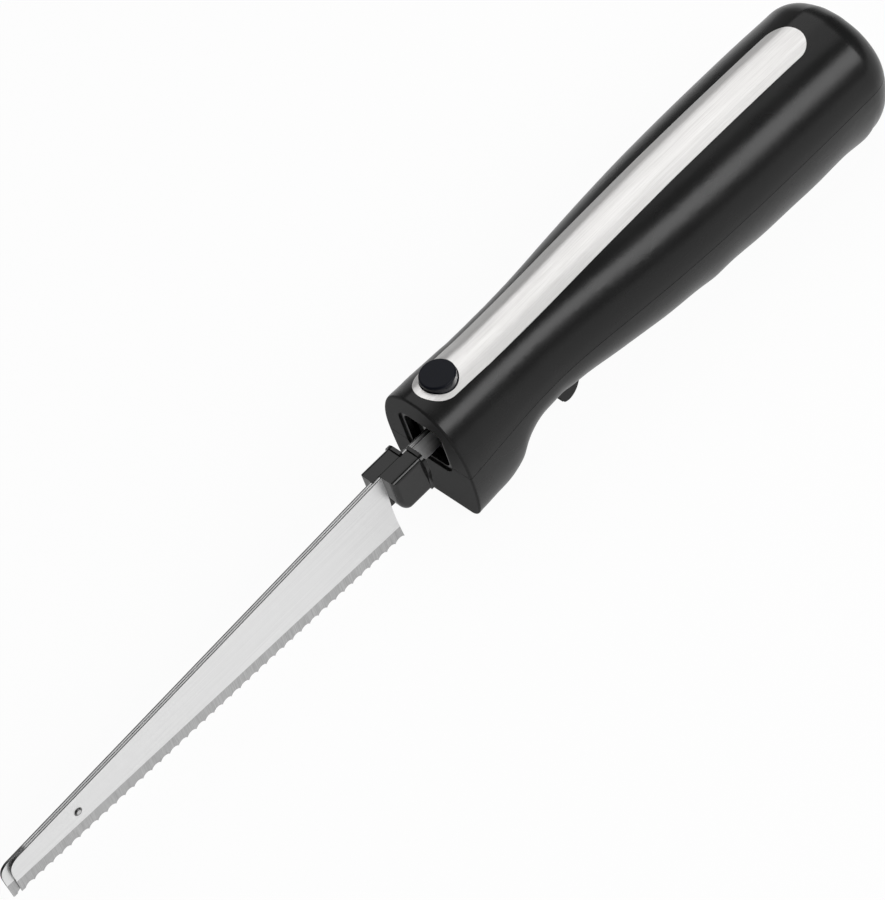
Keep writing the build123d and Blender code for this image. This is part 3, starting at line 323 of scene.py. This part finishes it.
def bladeSteel():
    s = bladeSetup
    shader = Shader("bladeSteel", {"Anisotropic": s["anisotropic"]})
    height = shader.z - (shader.x - heelX) * s["edgeSlope"] - bladeLow[2]
    flat = height.above(s["bevelHeight"], s["bevelEdge"])
    along = shader.noise(s["along"], detail=4.0, roughness=0.55)
    across = shader.noise(s["across"], detail=3.0, roughness=0.6)
    outward = shader.y.then("ABSOLUTE")
    face = outward.above(-bladeLow[1] - s["rimInset"], s["rimEdge"])
    split = 1.0 - outward.above(-bladeHigh[1] + s["rimInset"], s["rimEdge"])
    # the back edge between the two faces, which gets painted shade
    rimShade = (1.0 - face.then("MAXIMUM", split)) * flat
    corner = outward.above(-bladeLow[1] - s["rimCorner"], s["cornerEdge"])
    tip = 1.0 - shader.x.above(bladeLow[0] + s["tipReach"], s["tipEdge"])
    away = aroundRivet(shader)
    # painted shadow of the countersink round the rivet, on the near face only
    ring = away.above(s["ring"]["from"], s["ring"]["fromEdge"])
    ring = ring * (1.0 - away.above(s["ring"]["to"], s["ring"]["toEdge"]))
    ring = ring * (1.0 - shader.y.above(0.0, s["farSideEdge"]))
    flatColour = shader.colour(along.above(*s["contrast"]), grey(s["dark"]), grey(s["light"]))
    flatColour = shader.colour(ring * s["ring"]["share"], flatColour, grey(s["rimShade"][0]))
    darkBevel, lightBevel = (grey(tone) for tone in s["bevel"])
    bevelColour = shader.colour(across.above(*s["bevelContrast"]), darkBevel, lightBevel)
    # painted shade: the back edge is darkest on its outer corner and all round the tip
    rimShadeColour = shader.colour(corner.then("MAXIMUM", tip), grey(s["rimShade"][1]), grey(s["rimShade"][0]))
    lines = along * flat + across * (1.0 - flat)
    shader.bump(lines, *s["bump"])
    return shader.set(
        metallic=1.0,
        baseColour=shader.colour(rimShade, shader.colour(flat, bevelColour, flatColour), rimShadeColour),
        roughness=lines.spread(*s["roughness"]),
    )


rivetSetup = {
    "dome": (0.5, 0.75),
    # painted shade: the dome's outer edge is coloured nearly black
    "edge": 0.12,
    "edgeFrom": 0.0009,
    "edgeWidth": 0.0003,
    "grain": 2500.0,
    "bump": (0.1, 0.00003),
    "roughness": (0.2, 0.34),
}


def rivetSteel():
    s = rivetSetup
    shader = Shader("rivetSteel", {"Metallic": 1.0})
    grain = shader.grain(s["grain"], detail=3.0)
    # painted shade round the dome's outer edge
    edge = aroundRivet(shader).above(s["edgeFrom"], s["edgeWidth"])
    dome = shader.colour(grain, grey(s["dome"][0]), grey(s["dome"][1]))
    shader.bump(grain, *s["bump"])
    return shader.set(
        baseColour=shader.colour(edge, dome, grey(s["edge"])),
        roughness=grain.spread(*s["roughness"]),
    )


# Materials of the blades' holders and the trigger, in a dusty black

dustySetups = {
    "holder_plastic": {
        "specular": 0.4, "black": 0.004, "dust": 0.009, "roughness": (0.13, 0.2),
        "haze": 180.0, "grain": 5000.0, "bump": (0.05, 0.00003),
    },
    "trigger_plastic": {
        "specular": 0.3, "black": 0.005, "dust": 0.014, "roughness": (0.4, 0.58),
        "haze": 900.0, "bump": (0.25, 0.0001),
    },
}


def holderPlastic():
    s = dustySetups["holder_plastic"]
    shader = Shader("holderPlastic", {"Specular IOR Level": s["specular"]})
    haze = shader.grain(s["haze"], detail=3.0)
    shader.bump(shader.grain(s["grain"], detail=2.0), *s["bump"])
    return shader.set(
        baseColour=shader.colour(haze, grey(s["black"]), grey(s["dust"])),
        roughness=haze.spread(*s["roughness"]),
    )


def triggerPlastic():
    s = dustySetups["trigger_plastic"]
    shader = Shader("triggerPlastic", {"Specular IOR Level": s["specular"]})
    mottle = shader.noise((s["haze"],) * 3, detail=4.0, roughness=0.6)
    shader.bump(mottle, *s["bump"])
    return shader.set(
        baseColour=shader.colour(mottle, grey(s["black"]), grey(s["dust"])),
        roughness=mottle.spread(*s["roughness"]),
    )


# Materials of the inner pieces

innerSetup = {"contrast": (0.5, 0.6), "bump": (0.15, 0.00005)}
innerFinishes = {
    "screw_steel": {
        "colours": (0.55, 0.75), "metallic": 1.0, "roughness": (0.22, 0.35), "stretch": (800.0, 800.0, 800.0),
    },
    "spring_steel": {
        "colours": (0.5, 0.65), "metallic": 1.0, "roughness": (0.2, 0.32), "stretch": (500.0, 500.0, 500.0),
    },
    "frame_steel": {
        "colours": (0.35, 0.5), "metallic": 1.0, "roughness": (0.35, 0.5), "stretch": (200.0, 900.0, 900.0),
    },
    "core_steel": {
        "colours": (0.16, 0.4), "metallic": 1.0, "roughness": (0.4, 0.55), "stretch": (4000.0, 20.0, 20.0),
    },
    "guide_nylon": {
        "colours": (0.68, 0.8), "metallic": 0.0, "roughness": (0.4, 0.5), "stretch": (120.0, 120.0, 120.0),
    },
    "switch_plastic": {
        "colours": (0.03, 0.05), "metallic": 0.0, "roughness": (0.4, 0.55), "stretch": (900.0, 900.0, 900.0),
    },
    "ring_rubber": {
        "colours": (0.02, 0.035), "metallic": 0.0, "roughness": (0.6, 0.75), "stretch": (700.0, 700.0, 700.0),
    },
    "gland_rubber": {
        "colours": (0.012, 0.022), "metallic": 0.0, "roughness": (0.45, 0.6), "stretch": (700.0, 700.0, 700.0),
    },
    "carbon": {
        "colours": (0.02, 0.05), "metallic": 0.0, "roughness": (0.5, 0.65), "stretch": (1500.0, 1500.0, 1500.0),
    },
    "bush_bronze": {
        "colours": ((0.42, 0.26, 0.12, 1.0), (0.6, 0.4, 0.2, 1.0)), "metallic": 1.0,
        "roughness": (0.35, 0.5), "stretch": (1500.0, 1500.0, 1500.0),
    },
    "copper_wire": {
        "colours": ((0.38, 0.13, 0.05, 1.0), (0.75, 0.33, 0.16, 1.0)), "metallic": 1.0,
        "roughness": (0.25, 0.4), "stretch": (60.0, 2600.0, 2600.0),
    },
    "capacitor_plastic": {
        "colours": ((0.5, 0.32, 0.04, 1.0), (0.62, 0.42, 0.06, 1.0)), "metallic": 0.0,
        "roughness": (0.3, 0.4), "stretch": (300.0, 300.0, 300.0),
    },
}


# lines or grain between two colours, drawn out along the piece by the finish's stretch
def innerMaterial(name, finish):
    shader = Shader(name, {"Metallic": finish["metallic"]})
    lines = shader.noise(finish["stretch"], detail=4.0, roughness=0.6)
    low, high = (grey(tone) if isinstance(tone, float) else tone for tone in finish["colours"])
    shader.bump(lines, *innerSetup["bump"])
    return shader.set(
        baseColour=shader.colour(lines.above(*innerSetup["contrast"]), low, high),
        roughness=lines.spread(*finish["roughness"]),
    )


materials = {name: innerMaterial(name, finish) for name, finish in innerFinishes.items()}
materials["handle_plastic"] = handlePlastic()
materials["strip_steel"] = stripSteel()
materials["button_plastic"] = buttonPlastic()
materials["blade_steel"] = bladeSteel()
materials["holder_plastic"] = holderPlastic()
materials["trigger_plastic"] = triggerPlastic()

for part in frame["record"]["subparts"]:
    piece = nodes[part["node"]]
    piece.data.materials.clear()
    piece.data.materials.append(materials[part["material_slot"]])
nodes["blade_rivet"].data.materials[0] = rivetSteel()
print("materials set:", len(materials) + 1)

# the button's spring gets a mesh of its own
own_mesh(nodes["button_spring"])


# Light: a dim room over a white floor, a soft lamp beside the handle and a wide one over it

stageSetup = {
    "floorSize": 6.0,
    "floorColour": (0.9, 0.9, 0.9, 1.0),
    "floorRoughness": 0.9,
    "whiteShare": 0.95,      # how much of the floor's shade is hidden from the camera
    "mirrorShare": 0.6,      # and how much of that share its reflections hide
    "roomColour": (1.0, 1.0, 1.0, 1.0),
    "roomStrength": 0.13,
    "roomWhiteBelow": 0.05,  # the room is white up to this height on the sky's sphere
    "lampDistance": 1.4,
    "lampTarget": (0.08, 0.0, 0.04),
    "lamps": {
        "sideLamp": {"direction": (0.31, -0.77, 0.56), "size": (1.5, 0.62), "power": 14.5},
        "roofLamp": {"direction": (0.31, 0.36, 0.88), "size": (1.7, 1.7), "power": 10.0},
    },
}


# 1 for camera rays, the mirror share for glossy and transmission rays, 0 for the rest
def whiteRays(tree, mirrorShare):
    path = tree.add("ShaderNodeLightPath", {}, {})
    camera, glossy, through = (
        Maths(tree, path.outputs[ray]) for ray in ("Is Camera Ray", "Is Glossy Ray", "Is Transmission Ray")
    )
    return camera.then("MAXIMUM", glossy.then("MAXIMUM", through) * mirrorShare)


def makeFloor(s):
    half = s["floorSize"] / 2
    corners = [(-half, -half, 0), (half, -half, 0), (half, half, 0), (-half, half, 0)]
    floorMesh = bpy.data.meshes.new("floor")
    floorMesh.from_pydata(corners, [], [(0, 1, 2, 3)])
    floor = bpy.data.objects.new("floor", floorMesh)
    bpy.context.scene.collection.objects.link(floor)
    paint = bpy.data.materials.new("floorPaint")
    tree = Tree(paint)
    surface = tree.nodes["Principled BSDF"]
    tree.feed(surface.inputs["Base Color"], s["floorColour"])
    tree.feed(surface.inputs["Roughness"], s["floorRoughness"])
    glow = tree.add("ShaderNodeEmission", {}, {})
    mix = tree.add("ShaderNodeMixShader", {}, {
        0: whiteRays(tree, s["mirrorShare"]) * s["whiteShare"], 1: surface.outputs[0], 2: glow.outputs[0],
    })
    tree.feed(tree.nodes["Material Output"].inputs["Surface"], mix.outputs[0])
    floorMesh.materials.append(paint)


def makeRoom(s):
    room = bpy.data.worlds.new("room")
    bpy.context.scene.world = room
    tree = Tree(room)
    direction = tree.add("ShaderNodeTexCoord", {}, {})
    parts = tree.add("ShaderNodeSeparateXYZ", {}, {0: direction.outputs["Generated"]})
    lowPart = tree.add("ShaderNodeMapRange", {}, {
        "Value": parts.outputs["Z"], "From Min": s["roomWhiteBelow"], "From Max": 0.0,
    })
    seen = whiteRays(tree, s["mirrorShare"]) * Maths(tree, lowPart.outputs["Result"])
    strength = tree.add("ShaderNodeMapRange", {}, {"Value": seen, "To Min": s["roomStrength"]})
    background = tree.nodes["Background"]
    tree.feed(background.inputs["Color"], s["roomColour"])
    tree.feed(background.inputs["Strength"], strength.outputs["Result"])


def makeLamp(s, name):
    lamp = s["lamps"][name]
    lampData = bpy.data.lights.new(name, "AREA")
    lampData.shape = "RECTANGLE"
    lampData.size, lampData.size_y = lamp["size"]
    lampData.energy = lamp["power"]
    made = bpy.data.objects.new(name, lampData)
    back = Vector(lamp["direction"]).normalized()
    across = Vector((1.0, 0.0, 0.0)) - back * back.x
    across.normalize()
    turn = Matrix((across, back.cross(across), back)).transposed().to_4x4()
    made.matrix_world = Matrix.Translation(Vector(s["lampTarget"]) + back * s["lampDistance"]) @ turn
    bpy.context.scene.collection.objects.link(made)


makeFloor(stageSetup)
makeRoom(stageSetup)
for lampName in stageSetup["lamps"]:
    makeLamp(stageSetup, lampName)
bpy.context.scene.view_settings.view_transform = "Standard"
print("stage lit")
